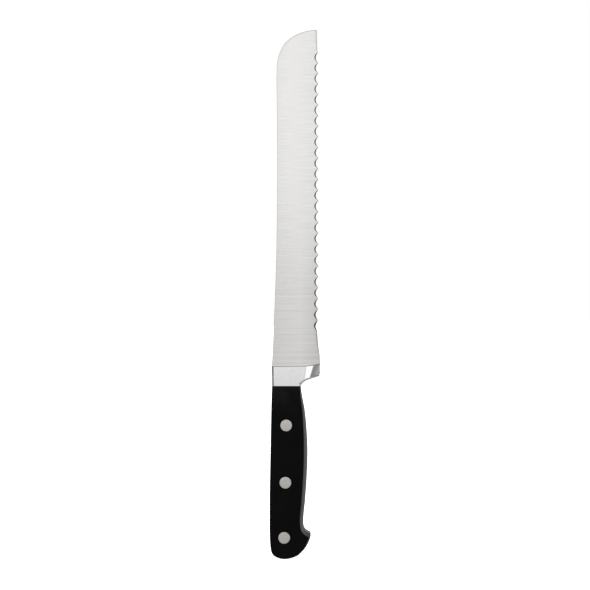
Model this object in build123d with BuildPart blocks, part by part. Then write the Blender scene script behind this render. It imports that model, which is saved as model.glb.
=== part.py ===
from build123d import *
import os
from math import cos, radians, sin, sqrt

os.makedirs("parts", exist_ok=True)

# Frame, in millimetres: +X from the spine to the cutting edge, +Y from the knife's right side to its
# left side, +Z from the butt of the handle to the tip. The blade's mid-plane is Y = 0.
overall_length = 320.0

# ---- blade
blank_spine_x = -15.6  # the ground section is a little wider than the finished outline
blank_edge_x = 15.4
blade_root_z = 112.0  # where the blade's outline ends, inside the bolster
spine_thickness_heel = 2.4
spine_thickness_tip = 1.5
edge_thickness = 0.1
grind_radius = 343.0  # each ground face stands 0.35 proud of a flat wedge
tooth_line_x = 14.2
heel_x = 15.3
heel_inset = 0.6  # how far the outline steps in at the heel, inside the bolster
nose_x = 12.8
tip_corner_radius = 0.9

# ---- serrations, ground from the right side only
gullet_count = 26
gullet_pitch = 6.37  # at the tip, growing by gullet_growth with each gullet
gullet_growth = 0.012
first_tooth_z = 306.5
first_gullet_z = 303.25
gullet_floor_x = 12.6
gullet_half_thickness = 0.28  # half the blade's thickness at a gullet's floor
gullet_wheel_radius = 7.0
gullet_angle = 25.0  # between the grinding wheel's face and the blade's mid-plane
gullet_overlap = 1.12  # width of one wheel cut over the pitch
gullet_reach = 4.0

# ---- bolster
bolster_front_z = 115.9
heel_rise = 1.4  # how much higher the bolster's front is at the heel
heel_bottom_z = 110.9
handle_top_z = 104.1
bolster_thickness = 13.0
sweep_radius = 11.4  # hollow that thins the bolster towards the heel
sweep_tilt = 10.0
sweep_start_x = 6.0
sweep_x = 15.6
notch_rounding = 1.0

# ---- handle
tang_thickness = 2.8
grip_thickness_middle = 15.8
grip_thickness_butt = 17.4
grip_middle_z = 58.0
grip_end_z = -1.0  # the thickness is given to just past the butt
grip_rounding = 2.4

# ---- cutler's rivets, each a headed tube and a headed pin
rivet_places = {"front": (-5.3, 80.4), "middle": (-5.8, 46.0), "rear": (-6.5, 12.9)}
rivet_head_radius = 3.7
rivet_head_depth = 2.6
rivet_tube_radius = 2.5
rivet_pin_radius = 1.6
rivet_tang_play = 0.1
rivet_end_play = 0.4

tang_half = tang_thickness / 2
bolster_half = bolster_thickness / 2
trim = 20.0  # more than any half-width, for solids that are cut back afterwards


# ---------------------------------------------------------------- blade
# Each face is ground to a large cylinder that tapers the spine towards the tip and keeps the edge thin.
# This gives the centre of that cylinder's section at height z, for the face on the left side.
def grind_centre(spine_thickness, z):
    run = blank_edge_x - blank_spine_x
    rise = (spine_thickness - edge_thickness) / 2
    chord = sqrt(run**2 + rise**2)
    drop = sqrt(grind_radius**2 - chord**2 / 4)
    x = (blank_edge_x + blank_spine_x) / 2 - drop * rise / chord
    y = (spine_thickness + edge_thickness) / 4 - drop * run / chord
    return Vector(x, y, z)


# Side outline of the blade, from the tip corner down the edge, across inside the bolster and up the spine.
with BuildSketch(Plane.XZ) as blade_outline:
    with BuildLine():
        l1 = Line((13.3, overall_length - tip_corner_radius), (13.55, first_tooth_z + 1.4))
        l2 = Polyline(l1 @ 1, (tooth_line_x, first_tooth_z + 0.3), (tooth_line_x, 190))
        l3 = ThreePointArc(l2 @ 1, (14.0, 165), (13.6, 137.5))
        heel = (heel_x, bolster_front_z + heel_rise)
        l4 = Spline(l3 @ 1, (14.1, 129.3), (15.0, 123.8), heel, tangents=[(0.05, -1), (0, -1)])
        l5 = Polyline(l4 @ 1, (heel_x - heel_inset, blade_root_z), (-14.25, blade_root_z))
        l6 = ThreePointArc(l5 @ 1, (-12.6, 147), (-11.4, 180.5))
        l7 = ThreePointArc(l6 @ 1, (-10.85, 225), (-11.0, 277))
        l8 = Spline(l7 @ 1, (-11.4, 291), (-10.45, 302.1), (-7.25, 310), tangents=[(-0.01, 1), (0.62, 1)])
        nose = (nose_x, overall_length)
        l9 = Spline(l8 @ 1, (-2.8, 314.75), (4.5, 318.45), nose, tangents=[l8 % 1, (1, 0.05)])
        TangentArc(l9 @ 1, l1 @ 0, tangent=l9 % 1)
    make_face()

with BuildPart() as blade:
    extrude(blade_outline.sketch, amount=trim, both=True)
    heel_centre = grind_centre(spine_thickness_heel, blade_root_z)
    axis = grind_centre(spine_thickness_tip, overall_length) - heel_centre
    for side in (-1, 1):
        centre = (heel_centre.X, side * heel_centre.Y, heel_centre.Z)
        along = (axis.X, side * axis.Y, axis.Z)
        with Locations(Plane(origin=centre, x_dir=(0, -side, 0), z_dir=along)):
            Cylinder(grind_radius, 2 * overall_length, mode=Mode.INTERSECT)

    # Serrations: a wheel with a rounded rim is drawn through the edge once for each gullet.
    tilt = radians(gullet_angle)
    floor_reach = gullet_floor_x * sin(tilt) - gullet_half_thickness * cos(tilt)
    floor_x, floor_y = floor_reach * sin(tilt), -floor_reach * cos(tilt)
    along_wheel = (cos(tilt), sin(tilt), 0)
    gullets = []
    for i in range(gullet_count):
        gullet_z = first_gullet_z - gullet_pitch * i - gullet_growth * i**2 / 2
        gullets.append(Plane(origin=(floor_x, floor_y, gullet_z), x_dir=(0, 0, 1), z_dir=along_wheel))
    rim_half = gullet_overlap * gullet_pitch / 2
    rim_rise = gullet_wheel_radius - sqrt(gullet_wheel_radius**2 - rim_half**2)
    with BuildSketch(*gullets):
        with BuildLine():
            l1 = ThreePointArc((-rim_half, rim_rise), (0, 0), (rim_half, rim_rise))
            Polyline(l1 @ 1, (rim_half, gullet_reach), (-rim_half, gullet_reach), l1 @ 0)
        make_face()
    extrude(amount=trim, both=True, mode=Mode.SUBTRACT)


# ---------------------------------------------------------------- bolster
# Side outline: flush with the handle at the bottom, with the finger notch curving out to the heel.
with BuildSketch(Plane.XZ) as bolster_outline:
    with BuildLine():
        l1 = Line((-13.9, handle_top_z), (-14.1, bolster_front_z))
        l2 = Line(l1 @ 1, (4.0, bolster_front_z + 0.1))
        l3 = Spline(l2 @ 1, (heel_x, bolster_front_z + heel_rise), tangents=[(1, 0), (1, 0.14)])
        l4 = Line(l3 @ 1, (heel_x, heel_bottom_z))
        l5 = Spline(l4 @ 1, (14.4, 109.6), (8.9, 107.88), tangents=[(0, -1), (-1, -0.34)])
        l6 = Spline(l5 @ 1, (6.9, 107.2), (5.0, 105.95), (3.55, handle_top_z))
        Line(l6 @ 1, l1 @ 0)
    make_face()

with BuildPart() as bolster:
    extrude(bolster_outline.sketch, amount=bolster_half, both=True)
    sweep_depth = sweep_radius - sqrt(sweep_radius**2 - (sweep_x - sweep_start_x) ** 2)
    sweep_y = bolster_half - sweep_depth + sweep_radius
    for y in (-sweep_y, sweep_y):
        with Locations(Location((sweep_x, y, blade_root_z), (0, sweep_tilt, 0))):
            Cylinder(sweep_radius, 4 * trim, mode=Mode.SUBTRACT)
    spine_corners = bolster.edges().filter_by(lambda e: e.center().X < -13.8 and abs(e.center().Y) > 6)
    fillet(spine_corners, radius=grip_rounding)
    notch_edges = bolster.edges().filter_by(
        lambda e: e.center().X > 3.9 and 104.5 < e.center().Z < 109.5 and abs(e.center().Y) > 1
    )
    fillet(notch_edges, radius=notch_rounding)


# ---------------------------------------------------------------- handle form
# Side outline shared by the tang and both scales: belly, hook, round butt and spine.
with BuildSketch(Plane.XZ) as handle_outline:
    with BuildLine():
        l1 = Spline(
            (3.5, handle_top_z), (4.3, 98.2), (6.05, 88.5), (7.15, 77), (7.65, 64.5), (6.2, 35.5), (5.1, 21.5)
        )
        l2 = Spline(l1 @ 1, (5.6, 17.5), (7.2, 15.5), (9.6, 14.3), tangents=[l1 % 1, (1, -0.3)])
        l3 = Spline(l2 @ 1, (8.0, 9.7), (5.3, 5.5), (1.2, 1.85), (-6.0, 0))
        l4 = Spline(l3 @ 1, (-12.65, 2.0), (-14.75, 6.5), tangents=[(-1, 0), (-0.1, 1)])
        l5 = Spline(l4 @ 1, (-15.3, 28), (-14.85, 62), (-13.9, handle_top_z), tangents=[l4 % 1, (0.04, 1)])
        Line(l5 @ 1, l1 @ 0)
    make_face()

# Thickness of the finished handle: level with the bolster at the top, fuller towards the butt.
with BuildSketch(Plane.YZ.offset(-trim)) as handle_thickness:
    with BuildLine():
        middle_half, butt_half = grip_thickness_middle / 2, grip_thickness_butt / 2
        l1 = Spline((bolster_half, handle_top_z), (middle_half, grip_middle_z), (butt_half, grip_end_z))
        l2 = Line(l1 @ 1, (-butt_half, grip_end_z))
        l3 = Spline(l2 @ 1, (-middle_half, grip_middle_z), (-bolster_half, handle_top_z))
        Line(l3 @ 1, l1 @ 0)
    make_face()

with BuildPart() as grip_form:
    extrude(handle_outline.sketch, amount=trim, both=True)
    extrude(handle_thickness.sketch, amount=2 * trim, mode=Mode.INTERSECT)
    rims = [grip_form.faces().sort_by(Axis.Y)[0], grip_form.faces().sort_by(Axis.Y)[-1]]
    fillet([e for f in rims for e in f.edges() if e.center().Z < handle_top_z - 1], radius=grip_rounding)


# ---------------------------------------------------------------- one forging: blade, bolster and full tang
with BuildPart() as blade_forging:
    add(bolster.part)
    add(blade.part)
    extrude(handle_outline.sketch, amount=tang_half, both=True)
    for x, z in rivet_places.values():
        with Locations(Location((x, 0, z), (90, 0, 0))):
            Cylinder(rivet_tube_radius + rivet_tang_play, 2 * tang_thickness, mode=Mode.SUBTRACT)

blade_forging.part.label = "blade_forging"
export_step(blade_forging.part, "parts/blade_forging.step")


# ---------------------------------------------------------------- scales
# How far out from the mid-plane a rivet head at height z is seated.
def head_seat(z):
    flush = bolster_half + (grip_thickness_butt - bolster_thickness) / 2 * (handle_top_z - z) / handle_top_z
    return flush - rivet_head_depth


# One moulded scale on each side of the tang, bored for the rivets: a wide seat for each head and a
# through hole for each tube. side is -1 for the knife's right side and +1 for its left side.
def scale(side):
    with BuildPart() as shell:
        add(grip_form.part)
        split(bisect_by=Plane.XZ.offset(-side * tang_half), keep=Keep.BOTTOM if side > 0 else Keep.TOP)
        for x, z in rivet_places.values():
            seat = head_seat(z)
            with Locations(Location((x, side * (seat + trim / 2), z), (90, 0, 0))):
                Cylinder(rivet_head_radius, trim, mode=Mode.SUBTRACT)
            with Locations(Location((x, 0, z), (90, 0, 0))):
                Cylinder(rivet_tube_radius, 2 * trim, mode=Mode.SUBTRACT)
    return shell.part


for side, name in ((-1, "right_scale"), (1, "left_scale")):
    part = scale(side)
    part.label = name
    export_step(part, f"parts/{name}.step")


# ---------------------------------------------------------------- rivets
# The tube's head is on the right side and the pin's head on the left. Both heads are ground flush.
def rivet_tube(x, z):
    seat = head_seat(z)
    with BuildPart() as tube:
        with Locations(Location((x, -(seat + trim / 2), z), (90, 0, 0))):
            Cylinder(rivet_head_radius, trim)
        with Locations(Location((x, -rivet_end_play / 2, z), (90, 0, 0))):
            Cylinder(rivet_tube_radius, 2 * seat - rivet_end_play)
            Cylinder(rivet_pin_radius, 2 * seat - rivet_end_play, mode=Mode.SUBTRACT)
        add(grip_form.part, mode=Mode.INTERSECT)
    return tube.part


def rivet_pin(x, z):
    seat = head_seat(z)
    with BuildPart() as pin:
        with Locations(Location((x, seat + trim / 2, z), (90, 0, 0))):
            Cylinder(rivet_head_radius, trim)
        with Locations(Location((x, rivet_end_play / 2, z), (90, 0, 0))):
            Cylinder(rivet_pin_radius, 2 * seat - rivet_end_play)
        add(grip_form.part, mode=Mode.INTERSECT)
    return pin.part


for place, (x, z) in rivet_places.items():
    for half, make in (("tube", rivet_tube), ("pin", rivet_pin)):
        part = make(x, z)
        part.label = f"{place}_rivet_{half}"
        export_step(part, f"parts/{place}_rivet_{half}.step")
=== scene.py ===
from math import cos, pi, radians, sin
import bmesh
import bpy
import numpy as np
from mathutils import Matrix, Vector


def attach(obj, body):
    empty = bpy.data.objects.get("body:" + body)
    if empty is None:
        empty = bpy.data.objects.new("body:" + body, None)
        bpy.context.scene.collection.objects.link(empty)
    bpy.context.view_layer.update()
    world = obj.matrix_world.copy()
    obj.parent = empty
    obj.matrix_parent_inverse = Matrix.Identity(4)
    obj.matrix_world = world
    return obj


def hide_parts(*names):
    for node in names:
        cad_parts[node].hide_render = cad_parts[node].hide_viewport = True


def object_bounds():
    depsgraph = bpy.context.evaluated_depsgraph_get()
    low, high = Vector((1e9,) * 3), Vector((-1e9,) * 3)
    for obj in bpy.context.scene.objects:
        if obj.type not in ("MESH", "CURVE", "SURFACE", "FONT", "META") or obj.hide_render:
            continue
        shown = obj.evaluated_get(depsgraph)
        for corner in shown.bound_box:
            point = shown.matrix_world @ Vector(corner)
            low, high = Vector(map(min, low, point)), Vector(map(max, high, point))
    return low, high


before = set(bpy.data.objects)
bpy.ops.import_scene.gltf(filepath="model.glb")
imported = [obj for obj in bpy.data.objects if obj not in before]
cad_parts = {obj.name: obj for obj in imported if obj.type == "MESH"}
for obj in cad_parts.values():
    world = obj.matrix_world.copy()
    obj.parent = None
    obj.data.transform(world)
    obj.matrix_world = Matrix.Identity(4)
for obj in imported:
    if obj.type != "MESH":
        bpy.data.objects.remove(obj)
CAD_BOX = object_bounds()
MM = 0.001

# ------------------------------------------------------------------ sizes, in millimetres
# Frame: +X spine to cutting edge, +Y right side to left side, +Z butt to nose, blade mid-plane Y = 0.
NOSE_Z = 320.0
NOSE_BASE_Z = 319.1  # the blade's rows climb to here, and the nose is filled in above
SPINE_HALF_HEEL, SPINE_HALF_TIP, EDGE_HALF = 1.2, 0.75, 0.05
TAPER_FROM_Z = 112.0  # the spine thins from here to the nose
GRIND_BULGE, BLANK_WIDTH, TOOTH_LINE = 0.35, 29.5, 14.2
HEEL_WIDENING, WIDENING_FROM_Z, WIDENING_LENGTH = 1.2, 165.0, 45.0
BEVEL_SLOPE, NOSE_BEVEL_GAIN, NOSE_BEVEL_Z = 0.25, 1.2, (305, 308)
SPINE_ROUND_REACH, SPINE_ROUND_DEPTH = 0.4, 0.26
GULLETS, GULLET_PITCH, GULLET_GROWTH = 26, 6.37, 0.012
FIRST_GULLET_Z, GULLET_FLOOR_X, GULLET_RADIUS, GULLET_REACH = 303.25, 12.6, 7.0, 4.2
GULLET_TILT = radians(25)
FRONT_Z, HANDLE_TOP = 115.9, 104.1
FRONT_LEAN, FRONT_LEAN_X = 0.1, (-14.0, 4.0)
HEEL_RISE, HEEL_RISE_X, HEEL_RISE_POWER = 1.3, (4.0, 15.3), 1.6
HEEL_X, HEEL_BOTTOM_Z = 15.3, 110.9
BOLSTER_HALF, TANG_HALF, ROOT_RADIUS = 6.5, 1.4, 0.15


# ------------------------------------------------------------------ small curve helpers
def share(x, a, b):
    """How far x is on its way from a to b, held between 0 and 1."""
    return np.clip((x - a) / (b - a), 0, 1)


def smoothstep(x, a, b):
    t = share(x, a, b)
    return t * t * (3 - 2 * t)


def unit(v):
    return np.array(v, float) / np.linalg.norm(v)


def hermite(points, n, start, end):
    """Smooth curve through the points, n samples for each span, with the given end directions."""
    p = np.array(points, float)
    chord = np.linalg.norm(np.diff(p, axis=0), axis=1)
    slope = np.zeros_like(p)
    slope[1:-1] = (p[2:] - p[:-2]) / (chord[1:] + chord[:-1])[:, None]
    slope[0], slope[-1] = unit(start), unit(end)
    t = np.linspace(0, 1, n, endpoint=False)[:, None]
    spans = [(2 * t**3 - 3 * t**2 + 1) * p[i] + (t**3 - 2 * t**2 + t) * c * slope[i]
             + (-2 * t**3 + 3 * t**2) * p[i + 1] + (t**3 - t**2) * c * slope[i + 1]
             for i, c in enumerate(chord)]
    return np.vstack(spans + [p[-1:]])


def arc_lengths(curve):
    return np.concatenate([[0], np.cumsum(np.linalg.norm(np.diff(curve, axis=0), axis=1))])


def pick(curve, known, wanted):
    """Points of a curve at the wanted values of a measure that is known at its samples."""
    return np.stack([np.interp(wanted, known, curve[:, k]) for k in (0, 1)], axis=1)


def along(curve, fractions):
    """Points at the given fractions of the curve's length."""
    s = arc_lengths(curve)
    return pick(curve, s, np.asarray(fractions) * s[-1])


def distance_to(points, line):
    """Distance of each point from a polyline, a batch of points at a time."""
    batch = 2000
    a = line[:-1]
    d = line[1:] - a
    nearest = np.empty(len(points))
    for i in range(0, len(points), batch):
        q = points[i:i + batch, None, :]
        t = np.clip(((q - a) * d).sum(2) / (d * d).sum(1), 0, 1)
        nearest[i:i + batch] = np.sqrt((((a + d * t[..., None]) - q) ** 2).sum(2)).min(1)
    return nearest


# ------------------------------------------------------------------ mesh helpers
def make_object(name, verts, faces, sharp_angle, materials, choice=None):
    """Object from points in millimetres. choice gives each face's place in materials."""
    me = bpy.data.meshes.new(name)
    me.from_pydata((np.asarray(verts) * MM).tolist(), [], [tuple(int(i) for i in f) for f in faces])
    me.validate()
    me.polygons.foreach_set("use_smooth", [True] * len(me.polygons))
    me.set_sharp_from_angle(angle=radians(sharp_angle))
    for m in materials:
        me.materials.append(m)
    if choice is not None:
        me.polygons.foreach_set("material_index", [int(c) for c in choice])
    ob = bpy.data.objects.new(name, me)
    bpy.context.scene.collection.objects.link(ob)
    return ob


def grid_faces(rows, cols, first=0, flip=False):
    i = np.arange(rows - 1)[:, None] * cols + np.arange(cols - 1)[None, :] + first
    f = np.stack([i, i + 1, i + cols + 1, i + cols], axis=2).reshape(-1, 4)
    return f[:, ::-1] if flip else f


def face_outwards(ob, weld=None):
    """Merges points closer than weld, in metres, if it is given, and turns every face outwards."""
    bm = bmesh.new()
    bm.from_mesh(ob.data)
    if weld is not None:
        bmesh.ops.remove_doubles(bm, verts=bm.verts, dist=weld)
    bmesh.ops.recalc_face_normals(bm, faces=bm.faces)
    bm.to_mesh(ob.data)
    bm.free()


# ------------------------------------------------------------------ node helpers
class Nodes:
    """Adds nodes to one node tree."""

    def __init__(self, tree):
        self.tree = tree

    def new(self, kind, **values):
        node = self.tree.nodes.new(kind)
        for k, v in values.items():
            setattr(node, k, v)
        return node

    def link(self, a, b):
        self.tree.links.new(a, b)

    def split(self, vector):
        node = self.new("ShaderNodeSeparateXYZ")
        self.link(vector, node.inputs[0])
        return node.outputs[0], node.outputs[1], node.outputs[2]

    def math(self, op, a, b):
        node = self.new("ShaderNodeMath", operation=op)
        for v, socket in zip((a, b), node.inputs):
            if isinstance(v, (int, float)):
                socket.default_value = v
            else:
                self.link(v, socket)
        return node.outputs[0]

    def remap(self, v, a, b, c, d):
        """Takes a..b to c..d and holds it there."""
        node = self.new("ShaderNodeMapRange")
        node.inputs["From Min"].default_value, node.inputs["From Max"].default_value = a, b
        node.inputs["To Min"].default_value, node.inputs["To Max"].default_value = c, d
        self.link(v, node.inputs["Value"])
        return node.outputs[0]

    def ramp(self, v, stops):
        """Colour ramp with (place, grey) or (place, (red, green, blue)) stops."""
        node = self.new("ShaderNodeValToRGB")
        while len(node.color_ramp.elements) < len(stops):
            node.color_ramp.elements.new(0.5)
        for e, (place, colour) in zip(node.color_ramp.elements, stops):
            e.position = place
            e.color = (*colour, 1) if isinstance(colour, tuple) else (colour, colour, colour, 1)
        self.link(v, node.inputs["Fac"])
        return node.outputs["Color"]


class Surface(Nodes):
    """A Principled material whose patterns follow the object's own coordinates, in metres."""

    def __init__(self, name):
        self.mat = bpy.data.materials.new(name)
        self.mat.use_nodes = True
        super().__init__(self.mat.node_tree)
        self.bsdf = self.tree.nodes["Principled BSDF"]
        self.coords = self.new("ShaderNodeTexCoord").outputs["Object"]

    def noise(self, scale, detail=4, rough=0.5):
        """Noise with its own frequency along each axis."""
        stretch = self.new("ShaderNodeMapping")
        stretch.inputs["Scale"].default_value = scale
        self.link(self.coords, stretch.inputs["Vector"])
        node = self.new("ShaderNodeTexNoise")
        node.inputs["Scale"].default_value = 1
        node.inputs["Detail"].default_value = detail
        node.inputs["Roughness"].default_value = rough
        self.link(stretch.outputs["Vector"], node.inputs["Vector"])
        return node.outputs["Fac"]

    def bump(self, height, strength, distance, below=None):
        node = self.new("ShaderNodeBump")
        node.inputs["Strength"].default_value = strength
        node.inputs["Distance"].default_value = distance
        self.link(height, node.inputs["Height"])
        if below is not None:
            self.link(below, node.inputs["Normal"])
        return node.outputs["Normal"]

    def colour(self, v, stops):
        self.link(self.ramp(v, stops), self.bsdf.inputs["Base Color"])

    def roughness(self, v, low, high, span=(0.3, 0.7)):
        self.link(self.remap(v, *span, low, high), self.bsdf.inputs["Roughness"])

    def relief(self, height, strength, distance, below=None):
        self.link(self.bump(height, strength, distance, below), self.bsdf.inputs["Normal"])

    def constant(self, socket, value):
        self.bsdf.inputs[socket].default_value = value


# ------------------------------------------------------------------ materials
def satin_steel(name):
    """Fine grind lines across the blade, with slower streaks under them that show most near the heel. The
    colour also carries painted shade that darkens the heel, most near its edge, and painted light and shade
    that runs from darker at the spine to lighter at the edge.
    """
    streak_depth, band_depth_nose, band_depth_heel = 0.035, 0.03, 0.46
    heel_painted_shade, heel_edge_painted_shade = 0.085, 0.14
    heel_to_z, plain_from_z = 0.160, 0.225
    spine_side, spine_painted_shade, edge_side, edge_painted_light = -0.012, -0.045, 0.0135, 0.10
    k = Surface(name)
    x, _, z = k.split(k.coords)
    fine = k.noise((60, 60, 5200), 3, 0.6)
    streak = k.noise((2.5, 7, 1000), 4, 0.7)
    band = k.noise((1.2, 4, 560), 4, 0.75)
    near_heel = k.remap(z, heel_to_z, plain_from_z, 1.0, 0.0)
    heel_edge_shade_mask = k.math("MULTIPLY", k.remap(x, 0.003, 0.015, 0.0, 1.0), near_heel)
    band_depth = k.remap(near_heel, 0, 1, band_depth_nose, band_depth_heel)
    tone = k.math("ADD", k.math("MULTIPLY", k.math("SUBTRACT", streak, 0.5), streak_depth),
                  k.math("MULTIPLY", k.math("SUBTRACT", band, 0.5), band_depth))
    # painted shade: the heel is drawn darker, most of all near its edge
    tone = k.math("SUBTRACT", tone, k.math("MULTIPLY", heel_edge_shade_mask, heel_edge_painted_shade))
    tone = k.math("SUBTRACT", tone, k.math("MULTIPLY", near_heel, heel_painted_shade))
    # painted light and shade: drawn darker on the spine side and lighter towards the edge side
    tone = k.math("ADD", tone, k.remap(x, spine_side, edge_side, spine_painted_shade, edge_painted_light))
    k.colour(k.math("ADD", tone, 0.5),
             [(0.0, (0.42, 0.412, 0.405)), (0.5, (0.850, 0.842, 0.835)), (1.0, 0.98)])
    k.roughness(fine, 0.25, 0.36)
    k.relief(fine, 0.12, 0.00005, below=k.bump(streak, 0.06, 0.0001))
    k.constant("Metallic", 1.0)
    return k.mat


def ground_steel(name, dark, light, rough):
    """Steel as the wheel leaves it, with marks running with the cut."""
    k = Surface(name)
    marks = k.noise((2600, 2600, 400), 3, 0.6)
    k.colour(marks, [(0.3, dark), (0.7, light)])
    k.roughness(marks, rough, rough + 0.08)
    k.relief(marks, 0.08, 0.00003)
    k.constant("Metallic", 1.0)
    return k.mat


def shoulder_steel(name):
    """Dark grey steel, dull, not metallic and without specular reflection, for the bolster's front bevel."""
    k = Surface(name)
    scale = k.noise((900, 900, 900), 4, 0.6)
    k.colour(scale, [(0.3, (0.15, 0.148, 0.145)), (0.7, (0.24, 0.236, 0.23))])
    k.roughness(scale, 0.6, 0.8)
    k.relief(scale, 0.2, 0.00003)
    k.constant("Specular IOR Level", 0.0)
    return k.mat


def polished_steel(name):
    """Bright steel with a little haze and faint polishing lines."""
    k = Surface(name)
    haze = k.noise((300, 300, 300), 4, 0.6)
    lines = k.noise((2500, 200, 120), 3, 0.6)
    k.colour(haze, [(0.3, 0.82), (0.7, 0.88)])
    k.roughness(lines, 0.06, 0.13)
    k.relief(lines, 0.05, 0.00002)
    k.constant("Metallic", 1.0)
    return k.mat


def handle_plastic(name, dark, light, specular, rough):
    """Black moulding, cloudy, a little greyer just under the bolster."""
    blue_cast, pale = 1.05, 3 * light
    k = Surface(name)
    cloud = k.noise((90, 90, 60), 4, 0.6)
    grain = k.noise((2600, 2600, 2600), 2, 0.5)
    _, _, z = k.split(k.coords)
    # lighter towards the top of the handle, just under the bolster
    greyer_near_top = k.math("MULTIPLY", k.remap(z, 0.086, 0.104, 0.0, 0.5), cloud)
    k.colour(k.math("ADD", cloud, greyer_near_top), [
        (0.3, (dark, dark, dark * blue_cast)), (0.65, (light, light, light * blue_cast)), (0.95, pale)])
    k.roughness(cloud, rough, rough + 0.12)
    k.relief(grain, 0.12, 0.00004)
    k.constant("Specular IOR Level", specular)
    return k.mat


def rivet_metal(name):
    """Warm grey metal, ground flush, with fine lines."""
    k = Surface(name)
    lines = k.noise((3500, 300, 500), 3, 0.6)
    haze = k.noise((700, 700, 700), 3, 0.5)
    k.colour(haze, [(0.3, (0.525, 0.505, 0.48)), (0.7, (0.63, 0.61, 0.58))])
    k.roughness(lines, 0.28, 0.42)
    k.relief(lines, 0.15, 0.00004)
    k.constant("Metallic", 1.0)
    return k.mat


SATIN, POLISHED = satin_steel("satin_steel"), polished_steel("polished_steel")
SHOULDER, RIVET = shoulder_steel("shoulder_steel"), rivet_metal("ground_rivet")
# The gullet facets' steel is painted very dark: painted shade standing in for the dark crescents, on top of
# the ground finish's roughness and marks
GROUND_AND_PAINTED_SHADE = ground_steel("ground_steel", dark=0.17, light=0.25, rough=0.08)
TANG_STEEL = ground_steel("tang_steel", dark=0.40, light=0.52, rough=0.25)
MOULDING = handle_plastic("black_moulding", dark=0.0018, light=0.0042, specular=0.05, rough=0.30)
# painted highlight: a lighter, more reflective copy of the moulding for the rim along the belly, standing in
# for light caught on its rounding
RIM_PAINTED_HIGHLIGHT = handle_plastic("moulding_painted_highlight", dark=0.006, light=0.011, specular=0.5, rough=0.26)


# ------------------------------------------------------------------ blade
SPINE = np.vstack([
    hermite([(-14.05, FRONT_Z), (-12.6, 147), (-11.4, 180.5), (-10.85, 225), (-11.0, 277),
             (-11.2, 291), (-10.45, 302.1), (-7.25, 310), (-2.8, 314.75), (4.5, 318.45), (12.5, NOSE_Z)],
            24, start=(0.05, 1), end=(1, 0.05)),
    [(12.9, 319.97), (13.15, 319.8), (13.28, 319.5), (13.3, NOSE_BASE_Z)],
])
EDGE_KNOTS = np.array([(112, HEEL_X), (117.3, HEEL_X), (120, 15.22), (123.8, 15.0), (129.3, 14.1),
                       (137.5, 13.6), (150, 13.85), (165, 14.0), (190, TOOTH_LINE), (306.6, TOOTH_LINE),
                       (307.1, 13.75), (308.1, 13.55), (NOSE_BASE_Z, 13.3), (320.1, 13.28)])

# rows: distances from the bolster's front, and shares of the way from the top row to the nose
NEAR_FRONT = np.array([-0.5, -0.1, 0, 0.01, 0.03, 0.05, 0.08, 0.11, 0.15, 0.25, 0.42, 0.7, 1.2, 1.8, 2.5,
                       3.3])
NOSE_FILL = np.array([0.12, 0.25, 0.38, 0.5, 0.6, 0.69, 0.77, 0.84, 0.9, 0.94, 0.97, 0.985, 1.0])
PLAIN_FROM_Z, PLAIN_ROWS, TOOTHED_TO_Z, TOOTHED_ROWS, NOSE_FROM_Z, NOSE_ROWS = 120, 14, 307.2, 700, 307.5, 30
LAST_CUT_REACH, FIRST_CUT_REACH = 4.0, 3.4  # the scallops end this far below the last and above the first
FOLLOW_FRONT = (1, 9)  # the rows let go of the front's shape between these heights above it
SPINE_SAMPLES, FAN_Z, NOSE_START_X, SPINE_MEASURED_FROM_Z = 1200, 289, 2.0, 285

# columns: distances from the spine, then shares of the face, of its last strip and of the ground facet
SPINE_COLUMNS = (0.0, 0.04, 0.12, 0.24, 0.4, 0.7)
FACE_COLUMNS = np.linspace(0, 1, 25)[1:]
STRIP_COLUMNS = (0.3, 0.6, 0.85, 1.0)
FACET_COLUMNS = (0.25, 0.5, 0.75, 1.0)
STRIP_WIDTH, STRIP_GAP = 3.6, 0.6


def edge_x(z):
    """The cutting edge before it is scalloped."""
    return np.interp(z, EDGE_KNOTS[:, 0], EDGE_KNOTS[:, 1])


def front_z(x):
    """Height of the bolster's front: a slight lean, then a rise towards the heel."""
    lean = FRONT_LEAN * share(x, *FRONT_LEAN_X)
    return FRONT_Z + lean + HEEL_RISE * share(x, *HEEL_RISE_X) ** HEEL_RISE_POWER


def half_thickness(x, z):
    """Half the blade's thickness: bulged grind, sharpened bevel and the hollow corner at the bolster."""
    spine = SPINE_HALF_HEEL + (SPINE_HALF_TIP - SPINE_HALF_HEEL) * share(z, TAPER_FROM_Z, NOSE_Z)
    blank_edge = TOOTH_LINE + HEEL_WIDENING * smoothstep(WIDENING_FROM_Z - z, 0, WIDENING_LENGTH)
    w = np.clip((blank_edge - x) / BLANK_WIDTH, 0, 1)
    ground = EDGE_HALF + (spine - EDGE_HALF) * w + 4 * GRIND_BULGE * w * (1 - w)
    bevel = BEVEL_SLOPE + NOSE_BEVEL_GAIN * smoothstep(z, *NOSE_BEVEL_Z)
    sharpened = EDGE_HALF + bevel * np.clip(edge_x(z) - x, 0, None)
    root = np.clip(ROOT_RADIUS - (z - front_z(x)), 0, ROOT_RADIUS)
    return np.minimum(ground, sharpened) + ROOT_RADIUS - np.sqrt(ROOT_RADIUS**2 - root**2)


def gullet_centre(i):
    """Height of a gullet, counted from the nose. The spacing grows a little towards the heel."""
    return FIRST_GULLET_Z - GULLET_PITCH * i - GULLET_GROWTH * i * i / 2


def gullet_rise(z):
    """How far the wheel's round cut has climbed from its deepest line."""
    off_centre = np.abs(z[:, None] - gullet_centre(np.arange(GULLETS))).min(1)
    return GULLET_RADIUS - np.sqrt(GULLET_RADIUS**2 - np.clip(off_centre, 0, GULLET_REACH) ** 2)


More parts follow.
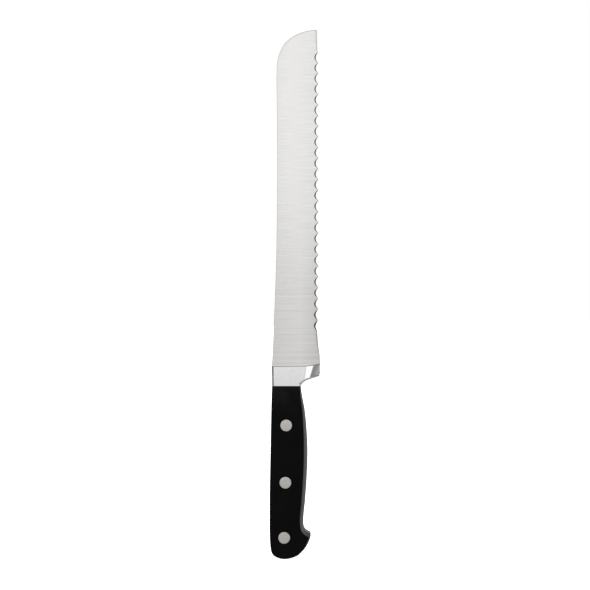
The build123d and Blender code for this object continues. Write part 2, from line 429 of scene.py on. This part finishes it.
def gullet_limits(z):
    """Where the wheel's cut leaves the right face (inner) and the left face (outer), and its level."""
    steps, gain = 30, 0.8
    st, ct = sin(GULLET_TILT), cos(GULLET_TILT)
    floor_x = np.full_like(z, GULLET_FLOOR_X)
    level = floor_x * st - half_thickness(floor_x, z) * ct + gullet_rise(z)
    outer, inner = edge_x(z), edge_x(z)
    for _ in range(steps):
        outer += gain * (level - (outer * st - half_thickness(outer, z) * ct))
        inner += gain * (level - (inner * st + half_thickness(inner, z) * ct))
    outer = np.minimum(outer, edge_x(z))
    return np.minimum(inner, outer), outer, level


def blade_rows():
    """Heights of the rows, fine where the edge is scalloped, and which of them are scalloped."""
    last = gullet_centre(GULLETS - 1)
    z = np.concatenate([
        FRONT_Z + NEAR_FRONT,
        np.linspace(PLAIN_FROM_Z, last - GULLET_REACH, PLAIN_ROWS),
        np.linspace(last - LAST_CUT_REACH, TOOTHED_TO_Z, TOOTHED_ROWS),
        np.linspace(NOSE_FROM_Z, NOSE_BASE_Z, NOSE_ROWS),
        np.full(len(NOSE_FILL), NOSE_BASE_Z),
    ])
    return z, (z >= last - LAST_CUT_REACH) & (z < FIRST_GULLET_Z + FIRST_CUT_REACH)


def spine_starts(z):
    """Each row's start on the spine and its way inwards: level with it, then fanned out round the nose."""
    spine = along(SPINE, np.linspace(0, 1, SPINE_SAMPLES))
    level_samples = 3 * SPINE_SAMPLES // 4  # rows higher than these wait at the last one until the fan begins
    sample = np.interp(np.minimum(z, FAN_Z), spine[:level_samples, 1], np.arange(level_samples))
    fan_from = sample[np.searchsorted(z, FAN_Z) - 1]
    fan_to = float(np.argmax(spine[:, 0] > NOSE_START_X))
    sample = np.where(z <= FAN_Z, sample, fan_from + (fan_to - fan_from) * share(z, FAN_Z, NOSE_BASE_Z))
    tangent = np.gradient(spine, axis=0)
    inwards = np.stack([tangent[:, 1], -tangent[:, 0]], axis=1)
    inwards /= np.linalg.norm(inwards, axis=1)[:, None]
    numbers = np.arange(SPINE_SAMPLES)
    return pick(spine, numbers, sample), pick(inwards, numbers, sample), spine[int(fan_to):]


def build_blade():
    z, toothed = blade_rows()
    start, inwards, nose = spine_starts(z)
    inner, outer, level = gullet_limits(z)
    edge = edge_x(z)
    inner, outer = np.where(toothed, inner, edge), np.where(toothed, outer, edge)
    strip_at = np.stack([np.minimum(edge - STRIP_WIDTH, inner - STRIP_GAP), z], axis=1)
    inner_at, outer_at = np.stack([inner, z], axis=1), np.stack([outer, z], axis=1)
    columns = [start + inwards * d for d in SPINE_COLUMNS]
    for a, b, shares in ((columns[-1], strip_at, FACE_COLUMNS), (strip_at, inner_at, STRIP_COLUMNS),
                         (inner_at, outer_at, FACET_COLUMNS)):
        columns += [a + (b - a) * k for k in shares]
    P = np.stack(columns, axis=1)
    n, cols = P.shape[:2]
    P[..., 1] += (front_z(P[..., 0]) - FRONT_Z) * (1 - smoothstep(P[..., 1] - FRONT_Z, *FOLLOW_FRONT))
    nose_line, chord = along(nose, np.linspace(0, 1, cols)), P[-1].copy()
    for row, b in enumerate(NOSE_FILL, n - len(NOSE_FILL)):
        P[row] = chord + (nose_line - chord) * b

    flat = P.reshape(-1, 2)
    from_spine = np.tile(SPINE_COLUMNS + (1.0,) * (cols - len(SPINE_COLUMNS)), n)
    high = flat[:, 1] > SPINE_MEASURED_FROM_Z
    from_spine[high] = distance_to(flat[high], SPINE)
    rounding = SPINE_ROUND_DEPTH * np.clip(1 - from_spine / SPINE_ROUND_REACH, 0, 1) ** 2
    h = half_thickness(flat[:, 0], flat[:, 1]) - rounding
    cut = (flat[:, 0] * sin(GULLET_TILT) - np.repeat(level, cols)) / cos(GULLET_TILT)
    is_facet = np.tile(np.arange(cols) >= cols - len(FACET_COLUMNS), n) & np.repeat(toothed, cols)
    right = np.where(is_facet, np.minimum(np.maximum(-h, cut), h), -h)
    verts = np.vstack([np.stack([flat[:, 0], y, flat[:, 1]], axis=1) for y in (right, h)])

    m = len(flat)
    a, c = np.arange(n - 1) * cols, np.arange(cols - 1)
    b, d = a + cols - 1, c + (n - 1) * cols
    faces = np.vstack([
        grid_faces(n, cols), grid_faces(n, cols, m, flip=True),
        np.stack([a + m, a, a + cols, a + cols + m], axis=1)[:, ::-1],  # spine
        np.stack([b, b + m, b + cols + m, b + cols], axis=1)[:, ::-1],  # edge
        np.stack([c, c + m, c + m + 1, c + 1], axis=1)[:, ::-1],  # end in the bolster
        np.stack([d, d + 1, d + m + 1, d + m], axis=1)[:, ::-1],  # end at the nose
    ])
    # the gullet facets take the steel with painted shade
    ground = np.zeros((n - 1, cols - 1), bool)
    ground[:, -len(FACET_COLUMNS):] = (toothed[:-1] & toothed[1:])[:, None]
    choice = np.zeros(len(faces), int)
    choice[:ground.size] = ground.ravel()
    return make_object("blade", verts, faces, 18, (SATIN, GROUND_AND_PAINTED_SHADE), choice)


# ------------------------------------------------------------------ bolster
NOTCH = hermite([(3.55, HANDLE_TOP), (5.0, 105.95), (6.9, 107.2), (8.9, 107.88), (12.0, 108.85),
                 (14.4, 109.6), (15.1, 110.15), (HEEL_X, HEEL_BOTTOM_Z)], 16, start=(0.55, 1), end=(0, 1))
HEEL_LINE = np.array([(HEEL_X, HEEL_BOTTOM_Z), (HEEL_X, 117.3)])
CREASE = np.array([(4.85, 105.9), (5.12, 107.1), (6.62, 116.15)])
CREASE_WIDTH = 0.42  # the crease is a narrow rounding, not a knife line
HOLLOW_SLOPE, HOLLOW_EASE, HOLLOW_Z, HOLLOW_WIDTH = 0.93, 0.4, (106, 116.2), (5.4, 8.1)
CHAMFER_WIDTH, CHAMFER_SLOPE = 1.1, 0.55
SPINE_RIM, FRONT_RIM, NOTCH_RIM, HEEL_RIM, RIM_DEPTH = 0.15, 0.3, 1.25, 0.3, 0.9
THINNEST = 0.2

# t runs from the handle round the notch, up the heel and over the front bevel
CORNER_T, HEEL_T, BEVEL_T = 0.12, 0.6, 0.965
BEVEL_ROWS = 5
CORNER_ALONG_NOTCH = 0.145
CORNER_GAP, CORNER_SPREAD = 0.05, 0.5
FLAT_COLUMNS = (0, 0.04, 0.08, 0.15, 0.5, 1.09, 1.11, 1.4)  # distances from the spine
FLAT_WIDTH = 19.5
HOLLOW_COLUMNS = (0.008, 0.016, 0.024, 0.032, 0.045, 0.08, 0.15, 0.25, 0.34, 0.42, 0.5, 0.57, 0.64, 0.7, 0.75,
                  0.8, 0.84, 0.88, 0.91, 0.935, 0.955, 0.97, 0.98, 0.99, 1.0)  # shares from crease to rim


def bolster_spine_x(z):
    """The bolster's spine side, which leans back a little."""
    return -14.0 - 0.017 * (z - 110)


def bolster_thickness(p):
    """Half the bolster's thickness: flat beside the spine, then hollowed past the crease, with eased rims."""
    x, z = p[:, 0], p[:, 1]
    past = np.clip(x - np.interp(z, CREASE[:, 1], CREASE[:, 0]), 0, None)
    width = np.interp(z, HOLLOW_Z, HOLLOW_WIDTH)
    u = np.minimum(past, width)
    t = BOLSTER_HALF - HOLLOW_SLOPE * (u - HOLLOW_EASE * u * u / width + (1 - 2 * HOLLOW_EASE) * (past - u))
    soft = np.clip(past / CREASE_WIDTH, 0, 1)
    t += HOLLOW_SLOPE * CREASE_WIDTH * (0.5 * soft * (2 - soft))
    from_spine = np.abs(x - bolster_spine_x(z))
    t -= CHAMFER_SLOPE * np.clip(CHAMFER_WIDTH - from_spine, 0, None)
    for distance, rim in ((from_spine, SPINE_RIM), (front_z(x) - z, FRONT_RIM),
                          (distance_to(p, NOTCH), NOTCH_RIM), (distance_to(p, HEEL_LINE), HEEL_RIM)):
        t -= RIM_DEPTH * rim * np.clip(1 - distance / rim, 0, 1) ** 2
    return t


def build_bolster():
    t = np.unique(np.concatenate([
        [0, 0.01, 0.02], np.linspace(0.03, CORNER_T, 10), np.linspace(CORNER_T, HEEL_T, 90),
        np.linspace(HEEL_T, BEVEL_T, 26), [0.970, 0.975, 0.98, 0.985, 0.99, 0.995, 1.0]]))
    on_notch = along(NOTCH, np.interp(t, [0, CORNER_T, HEEL_T], [0, CORNER_ALONG_NOTCH, 1.0]))
    heel_z = np.interp(t, [HEEL_T, 1], [HEEL_BOTTOM_Z, front_z(HEEL_X)])
    on_heel = np.stack([np.full_like(t, HEEL_X), heel_z], axis=1)
    rim = np.where(t[:, None] <= HEEL_T, on_notch, on_heel)

    climb = share(t, CORNER_T, 1)
    crease = CREASE[0] + (CREASE[-1] - CREASE[0]) * climb[:, None]
    crease[:, 0] = np.interp(crease[:, 1], CREASE[:, 1], CREASE[:, 0])
    beside_rim = rim - np.stack([CORNER_GAP + CORNER_SPREAD * (1 - t / CORNER_T), np.zeros_like(t)], axis=1)
    crease = np.where(t[:, None] < CORNER_T, beside_rim, crease)
    crease[-1, 1] = front_z(crease[-1:, 0])[0]
    spine_z = np.interp(t, [0, CORNER_T, 1], [HANDLE_TOP, CREASE[0, 1], FRONT_Z])
    spine = np.stack([bolster_spine_x(spine_z), spine_z], axis=1)

    columns = [spine + (crease - spine) * (d / FLAT_WIDTH) for d in FLAT_COLUMNS]
    start = columns[-1]
    columns += [start + (crease - start) * k for k in np.linspace(0, 1, 22)[1:]]
    columns += [crease + (rim - crease) * k for k in HOLLOW_COLUMNS]
    P = np.stack(columns, axis=1)
    n, m = P.shape[:2]
    # stretch each column so that the top row lies on the front
    P[..., 1] += (front_z(P[-1, :, 0]) - P[-1, :, 1])[None, :] * (climb**2)[:, None]
    flat = P.reshape(-1, 2)
    h = np.maximum(bolster_thickness(flat), THINNEST)
    verts = np.vstack([np.stack([flat[:, 0], y, flat[:, 1]], axis=1) for y in (-h, h)])

    q = len(flat)
    loop = np.concatenate([np.arange(m), np.arange(1, n) * m + m - 1, (n - 1) * m + np.arange(m - 2, -1, -1),
                           np.arange(n - 2, -1, -1) * m])
    a, b = loop[:-1], loop[1:]
    faces = np.vstack([grid_faces(n, m), grid_faces(n, m, q, flip=True),
                       np.stack([a, a + q, b + q, b], axis=1)])
    side = [0] * ((n - 1 - BEVEL_ROWS) * (m - 1)) + [1] * (BEVEL_ROWS * (m - 1))
    return make_object("bolster", verts, faces, 24, (POLISHED, SHOULDER), 2 * side + [0] * len(a))


# ------------------------------------------------------------------ handle
BELLY = hermite([(3.5, HANDLE_TOP), (4.3, 98.2), (6.05, 88.5), (7.15, 77), (7.65, 64.5), (7.2, 50),
                 (6.2, 35.5), (5.1, 21.5)], 30, start=(0.1, -1), end=(0.03, -1))
HOOK = hermite([(5.1, 21.5), (5.6, 17.5), (7.2, 15.5), (9.6, 14.3)], 24, start=(0.03, -1), end=(1, -0.3))
BUTT = hermite([(9.6, 14.3), (8.0, 9.7), (5.3, 5.5), (1.2, 1.85), (-6.0, 0.0)], 24,
               start=(-0.15, -1), end=(-1, 0))
BACK = hermite([(-6.0, 0.0), (-12.65, 2.0), (-14.75, 6.5)], 24, start=(-1, 0), end=(-0.1, 1))
SPINE_SIDE = hermite([(-14.75, 6.5), (-15.3, 28), (-14.85, 62), (-13.9, HANDLE_TOP)], 40,
                     start=(-0.1, 1), end=(0.04, 1))
OUTLINE = np.vstack([BELLY, HOOK[1:], BUTT[1:], BACK[1:], SPINE_SIDE[1:]])
HOOK_TIP = len(BELLY) + len(HOOK) - 2
GRIP = hermite([(-1, 8.7), (58, 7.9), (HANDLE_TOP, BOLSTER_HALF)], 40, start=(1, -0.008), end=(1, -0.038))

# one step for each column from the rim inwards: a quarter circle, or the ground strip along the belly
RIM_RADIUS = 1.1
RIM_ANGLE = np.radians([8, 17, 27, 37, 47, 57, 67, 77, 84, 90])
STRIP_IN = np.array([0.02, 0.2, 0.45, 0.7, 0.9, 1.0, 1.05, 1.11, 1.18, 1.3])
STRIP_DROP = np.array([1.796, 1.346, 0.817, 0.401, 0.149, 0.05, 0.02, 0.006, 0.001, 0])
STRIP_DROP_AT_RIM = 1.85
# rim cells along the belly that take the painted highlight
PAINTED_HIGHLIGHT_CELLS = 6
STRIP_AT_Z = [0, 8, 13, 17, 24, 36, 64, 82, 98, HANDLE_TOP]
STRIP_WIDTH_AT = [0.7, 0.8, 1.2, 1.9, 2.2, 2.3, 2.3, 1.9, 1.0, 0.6]
BELLY_FROM_X, BELLY_TO_X = -9, -1  # the spine side's rounding turns into the belly's strip between these

# rays run from the middle line out to both rims, level at first and fanned out round the butt
MIDDLE_X, FAN_CENTRE_Z, LEVEL_TO_Z = -4.5, 10.5, 24
HOOK_TIP_RAY_Z, LOWEST_LEVEL_Z = 15.2, 10.0
ABOVE_TOP = 112  # the outline is carried on to here, so that no rounding follows the top


def grip_half(z):
    """Half the handle's thickness: level with the bolster at the top, fuller towards the butt."""
    return np.interp(z, GRIP[:, 0], GRIP[:, 1])


def scale_rays():
    """Starts of the rays, where each ends along the outline on both sides, and the outline's arc lengths."""
    s = arc_lengths(OUTLINE)
    bottom = int(np.argmin(OUTLINE[:, 1]))

    def belly_at(z):
        return np.interp(z, OUTLINE[:HOOK_TIP + 1, 1][::-1], s[:HOOK_TIP + 1][::-1])

    level = np.concatenate([np.linspace(HANDLE_TOP, LEVEL_TO_Z, 74), np.linspace(23.4, FAN_CENTRE_Z, 30)])
    lowest = s[HOOK_TIP + np.argmin(np.abs(OUTLINE[HOOK_TIP:bottom, 1] - LOWEST_LEVEL_Z))]
    round_hook = np.interp(-level, [-LEVEL_TO_Z, -HOOK_TIP_RAY_Z, -FAN_CENTRE_Z],
                           [belly_at(LEVEL_TO_Z), s[HOOK_TIP], lowest])
    on_belly = np.where(level >= LEVEL_TO_Z, belly_at(level), round_hook)
    on_spine = np.interp(level, OUTLINE[bottom:, 1], s[bottom:])
    fan = np.linspace(0, 1, 29)[1:]
    on_belly = np.concatenate([on_belly, lowest + (s[bottom] - lowest) * fan])
    on_spine = np.concatenate([on_spine, on_spine[-1] + (s[bottom] - on_spine[-1]) * fan])
    start_z = np.concatenate([level, np.full(len(fan), FAN_CENTRE_Z)])
    return np.stack([np.full(len(start_z), MIDDLE_X), start_z], axis=1), on_belly, on_spine, s


def half_scale(anchors, arc, s):
    """Columns from the rim towards the middle line, their half thicknesses and the belly's share."""
    steps, most, inner_shares = 22, 0.9, (0.2, 0.45, 0.72)
    rim = pick(OUTLINE, s, arc)
    belly = np.interp(arc, s, smoothstep(OUTLINE[:, 0], BELLY_FROM_X, BELLY_TO_X))
    strip = np.interp(rim[:, 1], STRIP_AT_Z, STRIP_WIDTH_AT)
    outline = np.vstack([[(3.0, ABOVE_TOP)], OUTLINE, [(-13.6, ABOVE_TOP)]])
    ray, reach = anchors - rim, distance_to(anchors, outline)
    columns = [rim]
    heights = [grip_half(rim[:, 1]) - (RIM_RADIUS + (STRIP_DROP_AT_RIM * strip - RIM_RADIUS) * belly)]
    for angle, strip_in, strip_drop in zip(RIM_ANGLE, STRIP_IN, STRIP_DROP):
        inward = RIM_RADIUS * (1 - cos(angle)) * (1 - belly) + strip * strip_in * belly
        drop = RIM_RADIUS * (1 - sin(angle)) * (1 - belly) + strip * strip_drop * belly
        inward = np.minimum(inward, reach * most)
        lo, hi = np.zeros(len(rim)), np.ones(len(rim))
        for _ in range(steps):
            mid = (lo + hi) / 2
            near = distance_to(rim + ray * mid[:, None], outline) < inward
            lo, hi = np.where(near, mid, lo), np.where(near, hi, mid)
        columns.append(rim + ray * hi[:, None])
        heights.append(grip_half(columns[-1][:, 1]) - drop)
    last = columns[-1]
    for k in inner_shares:
        columns.append(last + (anchors - last) * k)
        heights.append(grip_half(columns[-1][:, 1]))
    return np.stack(columns, axis=1), np.stack(heights, axis=1), belly


def build_scale(name, side):
    anchors, on_belly, on_spine, s = scale_rays()
    belly_xz, belly_y, belly_highlight_share = half_scale(anchors, on_belly, s)
    spine_xz, spine_y, spine_highlight_share = half_scale(anchors, on_spine, s)
    n = len(anchors)
    foot, middle = np.full((n, 1), TANG_HALF), grip_half(anchors[:, 1])[:, None]
    # one row per ray: belly rim, in to the middle line, out to the spine rim, with a foot on the tang at each
    xz = np.concatenate([belly_xz[:, :1], belly_xz, anchors[:, None], spine_xz[:, ::-1], spine_xz[:, :1]],
                        axis=1)
    y = np.concatenate([foot, belly_y, middle, spine_y[:, ::-1], foot], axis=1)
    cols = xz.shape[1]
    verts = np.stack([xz[..., 0], side * y, xz[..., 1]], axis=2).reshape(-1, 3)
    faces = [list(f) for f in grid_faces(n, cols, 0, flip=side > 0)]
    top = list(range(cols))
    faces.append(top if side > 0 else top[::-1])
    for i in range(n - 1):  # the flat side, against the tang
        a, c = i * cols, (i + 1) * cols
        b, d = a + cols - 1, c + cols - 1
        faces.append([a, b, d, c] if side < 0 else [a, c, d, b])
    # painted highlight: the rim cells along the belly take the lighter copy of the moulding
    painted_highlight = np.zeros((n - 1, cols - 1), int)
    painted_highlight[:, 1:1 + PAINTED_HIGHLIGHT_CELLS] = (belly_highlight_share[:-1] > 0.5)[:, None]
    painted_highlight[:, -1 - PAINTED_HIGHLIGHT_CELLS:-1] = (spine_highlight_share[:-1] > 0.5)[:, None]
    choice = np.zeros(len(faces), int)
    choice[:painted_highlight.size] = painted_highlight.ravel()
    ob = make_object(name, verts, faces, 13, (MOULDING, RIM_PAINTED_HIGHLIGHT), choice)
    face_outwards(ob, weld=1e-7)  # the fan's rays share their start, and both sides meet at the butt
    return ob


def build_tang():
    n = len(OUTLINE)
    verts = np.vstack([np.stack([OUTLINE[:, 0], np.full(n, y), OUTLINE[:, 1]], axis=1)
                       for y in (-TANG_HALF, TANG_HALF)])
    i = np.arange(n)
    j = (i + 1) % n
    faces = [list(f) for f in np.stack([i, i + n, j + n, j], axis=1)] + [list(i), list((i + n)[::-1])]
    ob = make_object("tang", verts, faces, 30, (TANG_STEEL,))
    face_outwards(ob)
    return ob


# ------------------------------------------------------------------ rivets
RIVETS = {"front": (-5.3, 80.4), "middle": (-5.8, 46.0), "rear": (-6.5, 12.9)}
HEAD_FLAT_R, HEAD_ROLL, HEAD_DEPTH = 3.3, 0.36, 2.6
HEAD_PROUD, HEAD_DOME = 0.02, 0.05
TUBE_R, PIN_R, SEAT_R, SLIP, END_GAP = 2.5, 1.6, 3.78, 0.02, 0.4
BORE_INTO_HEAD = 0.3  # how far the tube's bore runs on past the underside of its head
CUTTER_INNER, CUTTER_OUTER = 0.5, 12
OUTER_FACE_FROM = 4  # profile points beyond this are on the outer face, which follows the scale


def revolve(name, profile, x, z, side, material, segments=72):
    """Turns (radius, distance out from the mid-plane) points about the rivet's axis."""
    profile = np.array(profile, float)
    m = len(profile)
    at_axis = grip_half(z)
    verts = []
    for a in np.linspace(0, 2 * pi, segments, endpoint=False):
        px, pz = x + profile[:, 0] * cos(a), z + profile[:, 0] * sin(a)
        y = profile[:, 1] + np.where(profile[:, 1] > OUTER_FACE_FROM, grip_half(pz) - at_axis, 0)
        verts.append(np.stack([px, side * y, pz], axis=1))
    faces = []
    for i in range(segments):
        a, b = i * m, (i + 1) % segments * m
        faces += [[a + k, b + k, b + k + 1, a + k + 1] for k in range(m - 1)]
    ob = make_object(name, np.vstack(verts), faces, 30, (material,))
    face_outwards(ob, weld=1e-8)
    return ob


def head_profile(top):
    """A faintly domed disc with a rolled rim."""
    dome = [(r, top + HEAD_PROUD - HEAD_DOME * (r / HEAD_FLAT_R) ** 2)
            for r in np.linspace(0, HEAD_FLAT_R, 9)]
    rim_top = top + HEAD_PROUD - HEAD_DOME
    rim = [(HEAD_FLAT_R + HEAD_ROLL * sin(a), rim_top - HEAD_ROLL * (1 - cos(a)))
           for a in np.radians([20, 40, 60, 75, 90])]
    return dome + rim


def build_rivet(place, x, z):
    top = float(grip_half(z))
    seat = top - HEAD_DEPTH
    end = END_GAP - seat  # both shanks stop short of the other half's head
    head = head_profile(top)
    head.append((head[-1][0], seat))
    pin = head + [(PIN_R, seat), (PIN_R, end), (0, end)]
    tube = head + [(TUBE_R, seat), (TUBE_R, end), (PIN_R + SLIP, end), (PIN_R + SLIP, seat + BORE_INTO_HEAD),
                   (0, seat + BORE_INTO_HEAD)]
    for half, side, profile in (("tube", -1, tube), ("pin", 1, pin)):
        ob = revolve(f"{place}_rivet_{half}_head", profile, x, z, side, RIVET)
        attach(ob, "root")
        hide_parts(f"{place}_rivet_{half}")


def bore(scale, side):
    """Cuts the rivet seats and bores out of a scale."""
    cutters = []
    for x, z in RIVETS.values():
        seat = float(grip_half(z)) - HEAD_DEPTH
        profile = [(0, CUTTER_OUTER), (SEAT_R, CUTTER_OUTER), (SEAT_R, seat), (TUBE_R + SLIP, seat),
                   (TUBE_R + SLIP, CUTTER_INNER), (0, CUTTER_INNER)]
        cutters.append(revolve("cutter", profile, x, z, side, MOULDING))
        m = scale.modifiers.new("bore", "BOOLEAN")
        m.operation, m.object, m.solver = "DIFFERENCE", cutters[-1], "EXACT"
    graph = bpy.context.evaluated_depsgraph_get()
    bored = bpy.data.meshes.new_from_object(scale.evaluated_get(graph))
    scale.modifiers.clear()
    scale.data = bored
    for cutter in cutters:
        bpy.data.objects.remove(cutter)


# ------------------------------------------------------------------ the knife
blade, bolster, tang = build_blade(), build_bolster(), build_tang()
for ob in (blade, bolster, tang):
    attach(ob, "root")
    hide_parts("blade_forging")
for name, side in (("right_scale", -1), ("left_scale", 1)):
    ob = build_scale(name + "_moulding", side)
    bore(ob, side)
    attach(ob, "root")
    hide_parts(name)
for place, (x, z) in RIVETS.items():
    build_rivet(place, x, z)


# ------------------------------------------------------------------ camera
CAMERA_DISTANCE, CAMERA_HEIGHT = 0.8, 0.15897

cam_data = bpy.data.cameras.new("camera")
cam = bpy.data.objects.new("camera", cam_data)
bpy.context.scene.collection.objects.link(cam)
cam.location = (0, -CAMERA_DISTANCE, CAMERA_HEIGHT)
cam.rotation_euler = (radians(90), 0, 0)
cam_data.lens, cam_data.sensor_width = 80.33, 36.0
cam_data.clip_start, cam_data.clip_end = 0.01, 100
bpy.context.scene.camera = cam
bpy.context.scene.view_settings.view_transform = "Standard"


# ------------------------------------------------------------------ floor
FLOOR_HALF, FLOOR_GAP = 6, 0.0003

floor_mesh = bpy.data.meshes.new("floor")
floor_mesh.from_pydata([(FLOOR_HALF * x, FLOOR_HALF * y, 0) for x, y in ((-1, -1), (1, -1), (1, 1), (-1, 1))],
                       [], [(0, 1, 2, 3)])
floor = bpy.data.objects.new("floor", floor_mesh)
floor.location.z = CAD_BOX[0].z - FLOOR_GAP
bpy.context.scene.collection.objects.link(floor)
k = Surface("pale_floor")
k.colour(k.noise((2, 2, 2)), [(0.3, 0.86), (0.7, 0.88)])
k.constant("Roughness", 0.9)
k.constant("Emission Color", (1, 1, 1, 1))
k.constant("Emission Strength", 1.0)
floor_mesh.materials.append(k.mat)
floor.visible_glossy = False
floor.visible_diffuse = False


# ------------------------------------------------------------------ studio
# Brightness round the horizon. Azimuth is 0 straight behind the camera and grows towards the edge side.
STUDIO = [(-180, 0.42), (-150, 0.42), (-125, 0.72), (-70, 0.8), (-66, 0.25), (-51, 0.25), (-47, 0.9),
          (-30, 0.9), (-22, 1.04), (0, 1.17), (11, 1.36), (16, 0.41), (40, 0.41), (53, 0.53), (58, 1.22),
          (126, 1.22), (134, 0.72), (142, 0.72), (155, 0.42), (180, 0.42)]
# Share of it by elevation: on the camera's side, and elsewhere.
CAMERA_SIDE = [(-90, 0.38), (-33, 0.38), (-29, 0.75), (-21, 0.75), (-16, 0.48), (-10, 0.47), (-5.5, 0.56),
               (-2.5, 0.785), (-0.3, 0.715), (2.3, 0.92), (4.9, 1.06), (7.5, 1.07), (9.2, 1.02), (10.7, 0.93),
               (20, 0.96), (32, 0.5), (90, 0.4)]
ELSEWHERE = [(-19, 0.35), (-12, 1.0)]
# 1 on the camera's side and 0 elsewhere, by azimuth.
IS_CAMERA_SIDE = [(-180, 0.0), (-125, 0.0), (-118, 1.0), (54, 1.0), (58, 0.0), (180, 0.0)]


def by_azimuth(stops):
    return [((deg + 180) / 360, v) for deg, v in stops]


def by_elevation(stops):
    return [((sin(radians(deg)) + 1) / 2, v) for deg, v in stops]


world = bpy.data.worlds.new("studio")
bpy.context.scene.world = world
world.use_nodes = True
w = Nodes(world.node_tree)
w.tree.nodes.clear()
east, north, up = w.split(w.new("ShaderNodeTexCoord").outputs["Generated"])
azimuth = w.remap(w.math("ARCTAN2", east, w.math("MULTIPLY", north, -1)), -pi, pi, 0, 1)
elevation = w.remap(up, -1, 1, 0, 1)
by_height = w.new("ShaderNodeMixRGB")
w.link(w.ramp(azimuth, by_azimuth(IS_CAMERA_SIDE)), by_height.inputs["Fac"])
w.link(w.ramp(elevation, by_elevation(ELSEWHERE)), by_height.inputs["Color1"])
w.link(w.ramp(elevation, by_elevation(CAMERA_SIDE)), by_height.inputs["Color2"])
light, backdrop = w.new("ShaderNodeBackground"), w.new("ShaderNodeBackground")
brightness = w.math("MULTIPLY", w.ramp(azimuth, by_azimuth(STUDIO)), by_height.outputs["Color"])
w.link(brightness, light.inputs["Color"])
backdrop.inputs["Color"].default_value = (1, 1, 1, 1)
seen = w.new("ShaderNodeMixShader")  # the backdrop itself is plain white
w.link(w.new("ShaderNodeLightPath").outputs["Is Camera Ray"], seen.inputs[0])
w.link(light.outputs[0], seen.inputs[1])
w.link(backdrop.outputs[0], seen.inputs[2])
w.link(seen.outputs[0], w.new("ShaderNodeOutputWorld").inputs["Surface"])

sun_data = bpy.data.lights.new("overhead", "SUN")
sun_data.energy, sun_data.angle = 1.5, radians(20)
sun = bpy.data.objects.new("overhead", sun_data)
bpy.context.scene.collection.objects.link(sun)
sun.visible_glossy = False
